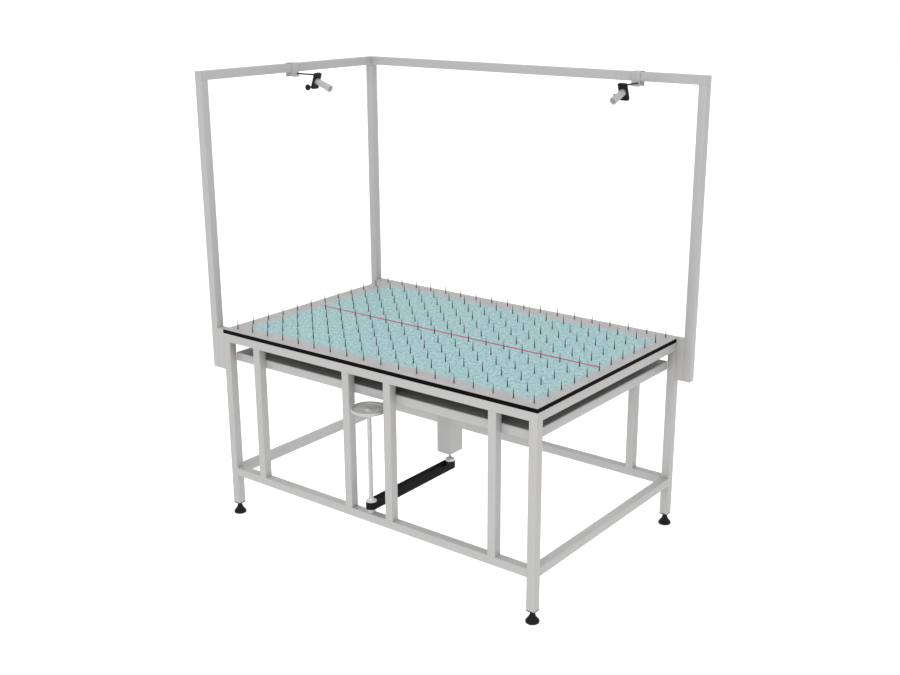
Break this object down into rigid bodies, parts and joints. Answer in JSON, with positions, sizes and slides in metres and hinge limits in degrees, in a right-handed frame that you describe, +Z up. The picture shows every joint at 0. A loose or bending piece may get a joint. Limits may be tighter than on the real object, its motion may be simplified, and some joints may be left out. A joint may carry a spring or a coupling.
{
  "type": "fabric spreading table",
  "caption": "Steel-framed table with a board pierced by pins that a handwheel raises and lowers, and a gantry carrying two tilting line lasers.",
  "frame": {"origin": "centre of the worktop's upper face", "axes": "+X to the right along the front, +Y to the back, +Z up; the floor is 0.955 m below the origin"},
  "size_m": [1.9633, 1.27, 2.1583],
  "materials": {
    "frame_paint": "satin light grey paint",
    "worktop": "laminated board, pale warm grey with a light blue field",
    "edge_band": "matte black edging",
    "belt_rubber": "matte black",
    "black_plastic": "matte black moulding",
    "black_metal": "matte black",
    "barrel_metal": "satin anodised",
    "wheel_paint": "satin light grey",
    "shaft_steel": "satin",
    "ground_steel": "ground and bright",
    "bronze": "turned bronze",
    "plate_wood": "plywood",
    "pin_steel": "blackened steel"
  },
  "bodies": {
    "table": {"table_board": "worktop", "edge_band": "edge_band", "top_rail_front": "frame_paint", "top_rail_back": "frame_paint", "top_rail_left": "frame_paint", "top_rail_right": "frame_paint", "leg_front_left": "frame_paint", "leg_front_right": "frame_paint", "leg_back_left": "frame_paint", "leg_back_right": "frame_paint", "front_posts": "frame_paint", "back_posts": "frame_paint", "lower_rail_front": "frame_paint", "lower_rail_back": "frame_paint", "lower_rail_left": "frame_paint", "lower_rail_right": "frame_paint", "lift_frame_front": "frame_paint", "lift_frame_back": "frame_paint", "lift_frame_left": "frame_paint", "lift_frame_right": "frame_paint", "lift_frame_cross_tubes": "frame_paint", "lift_frame_panel": "frame_paint", "guide_rods": "ground_steel", "lift_guide": "bronze", "jack_box": "frame_paint", "jack_bearing": "bronze", "shaft_bearing": "frame_paint", "drive_belt": "belt_rubber", "gantry_post_front_left": "frame_paint", "gantry_post_back_left": "frame_paint", "gantry_post_back_right": "frame_paint", "gantry_spacers": "frame_paint", "gantry_end_caps": "frame_paint", "laser_bar_left": "frame_paint", "laser_bar_back": "frame_paint", "foot_plugs": "black_plastic"},
    "drive": {"handwheel": "wheel_paint", "drive_shaft": "shaft_steel", "shaft_pulley": "wheel_paint"},
    "screw": {"jack_screw": "shaft_steel", "screw_pulley": "wheel_paint"},
    "pin_lift": {"pin_plate": "plate_wood", "pins": "pin_steel", "guide_bushes": "bronze", "lift_tube": "shaft_steel", "lift_nut": "bronze"},
    "foot_front_left": {"foot_front_left": "black_plastic"},
    "foot_front_right": {"foot_front_right": "black_plastic"},
    "foot_back_left": {"foot_back_left": "black_plastic"},
    "foot_back_right": {"foot_back_right": "black_plastic"},
    "laser_carriage_left": {"laser_saddle_left": "frame_paint", "laser_arm_left": "black_metal"},
    "laser_head_left": {"laser_holder_left": "black_metal"},
    "laser_barrel_left": {"laser_barrel_left": "barrel_metal"},
    "clamp_knob_left": {"clamp_knob_left": "black_plastic"},
    "laser_carriage_back": {"laser_saddle_back": "frame_paint", "laser_arm_back": "black_metal"},
    "laser_head_back": {"laser_holder_back": "black_metal"},
    "laser_barrel_back": {"laser_barrel_back": "barrel_metal"},
    "clamp_knob_back": {"clamp_knob_back": "black_plastic"}
  },
  "joints": [
    {"name": "handwheel_turn", "type": "hinge", "parent": "table", "child": "drive", "pos_m": [0, -0.58, -0.2], "axis": [0, 0, 1], "range_deg": [-1800, 0]},
    {"name": "screw_turn", "type": "hinge", "parent": "table", "child": "screw", "pos_m": [0, 0, -0.6], "axis": [0, 0, 1], "range_deg": [-1800, 0]},
    {"name": "pin_lift", "type": "slide", "parent": "table", "child": "pin_lift", "axis": [0, 0, 1], "range_m": [-0.05, 0]},
    {"name": "foot_front_left_level", "type": "slide", "parent": "table", "child": "foot_front_left", "axis": [0, 0, 1], "range_m": [-0.02, 0.004]},
    {"name": "foot_front_right_level", "type": "slide", "parent": "table", "child": "foot_front_right", "axis": [0, 0, 1], "range_m": [-0.02, 0.004]},
    {"name": "foot_back_left_level", "type": "slide", "parent": "table", "child": "foot_back_left", "axis": [0, 0, 1], "range_m": [-0.02, 0.004]},
    {"name": "foot_back_right_level", "type": "slide", "parent": "table", "child": "foot_back_right", "axis": [0, 0, 1], "range_m": [-0.02, 0.004]},
    {"name": "laser_slide_left", "type": "slide", "parent": "table", "child": "laser_carriage_left", "axis": [0, 1, 0], "range_m": [-0.52, 0.51]},
    {"name": "laser_tilt_left", "type": "hinge", "parent": "laser_carriage_left", "child": "laser_head_left", "pos_m": [-0.814, 0.0085, 1.151], "axis": [0, 1, 0], "range_deg": [-20, 60]},
    {"name": "laser_roll_left", "type": "hinge", "parent": "laser_head_left", "child": "laser_barrel_left", "pos_m": [-0.81256, 0.0085, 1.12281], "axis": [0.9397, 0, -0.342], "range_deg": [-90, 90]},
    {"name": "clamp_turn_left", "type": "hinge", "parent": "laser_head_left", "child": "clamp_knob_left", "pos_m": [-0.82282, 0.0085, 1.09461], "axis": [0, 1, 0], "range_deg": [-360, 0]},
    {"name": "laser_slide_back", "type": "slide", "parent": "table", "child": "laser_carriage_back", "axis": [1, 0, 0], "range_m": [-1.4, 0.28]},
    {"name": "laser_tilt_back", "type": "hinge", "parent": "laser_carriage_back", "child": "laser_head_back", "pos_m": [0.642, 0.434, 1.151], "axis": [1, 0, 0], "range_deg": [-20, 60]},
    {"name": "laser_roll_back", "type": "hinge", "parent": "laser_head_back", "child": "laser_barrel_back", "pos_m": [0.642, 0.43256, 1.12281], "axis": [0, -0.9397, -0.342], "range_deg": [-90, 90]},
    {"name": "clamp_turn_back", "type": "hinge", "parent": "laser_head_back", "child": "clamp_knob_back", "pos_m": [0.642, 0.44282, 1.09461], "axis": [1, 0, 0], "range_deg": [-360, 0]}
  ],
  "couplings": [
    {"joint": "screw_turn", "follows": "handwheel_turn", "ratio": 1},
    {"joint": "pin_lift", "follows": "handwheel_turn", "m_per_rad": 0.0015915}
  ]
}
